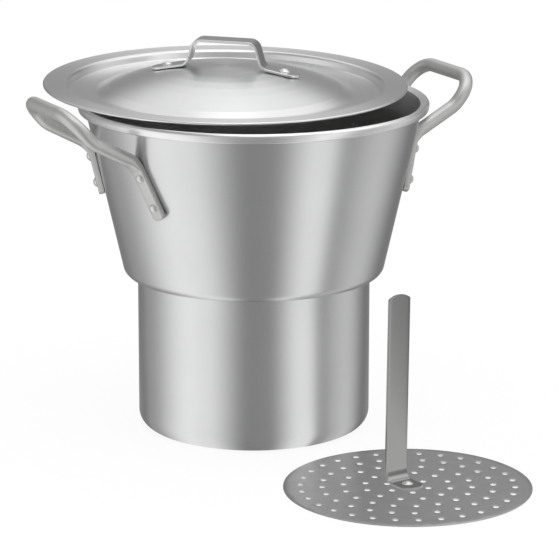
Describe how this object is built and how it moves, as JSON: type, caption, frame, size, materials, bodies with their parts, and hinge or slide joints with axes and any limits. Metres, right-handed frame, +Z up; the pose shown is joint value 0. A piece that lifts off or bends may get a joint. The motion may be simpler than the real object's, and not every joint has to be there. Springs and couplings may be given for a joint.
{
  "type": "couscous steamer",
  "caption": "Aluminium steamer pot with a water chamber below a flared cone, riveted rod handles, a loose domed pan lid and a perforated strainer plate on a lifting strap.",
  "frame": {"origin": "centre of the pot's base, on the floor", "axes": "+Z up along the pot's axis, +X through the right handle, -Y towards the strainer plate that stands in front"},
  "size_m": [0.3312, 0.435, 0.2817],
  "materials": {
    "spun_wall": "satin, brushed round",
    "handle_rod": "tumbled satin",
    "rivet": "satin",
    "lid_sheet": "satin, brushed round",
    "lid_strap": "polished",
    "strainer_sheet": "mill finish, matt"
  },
  "bodies": {
    "pot": {"pot_body": "spun_wall", "right_handle": "handle_rod", "left_handle": "handle_rod", "right_handle_rivet_front_upper": "rivet", "right_handle_rivet_front_lower": "rivet", "right_handle_rivet_rear_upper": "rivet", "right_handle_rivet_rear_lower": "rivet", "left_handle_rivet_front_upper": "rivet", "left_handle_rivet_front_lower": "rivet", "left_handle_rivet_rear_upper": "rivet", "left_handle_rivet_rear_lower": "rivet"},
    "lid": {"lid": "lid_sheet", "lid_handle": "lid_strap", "lid_rivet_left": "rivet", "lid_rivet_right": "rivet"},
    "strainer": {"strainer_plate": "strainer_sheet", "lifting_strap": "strainer_sheet", "strap_rivet": "rivet"}
  },
  "joints": [
    {"name": "lid_lift", "type": "slide", "parent": "pot", "child": "lid", "axis": [0, 0, 1], "range_m": [0, 0.15]},
    {"name": "strainer_lift", "type": "slide", "parent": "pot", "child": "strainer", "axis": [0, 0, 1], "range_m": [0, 0.13]}
  ]
}
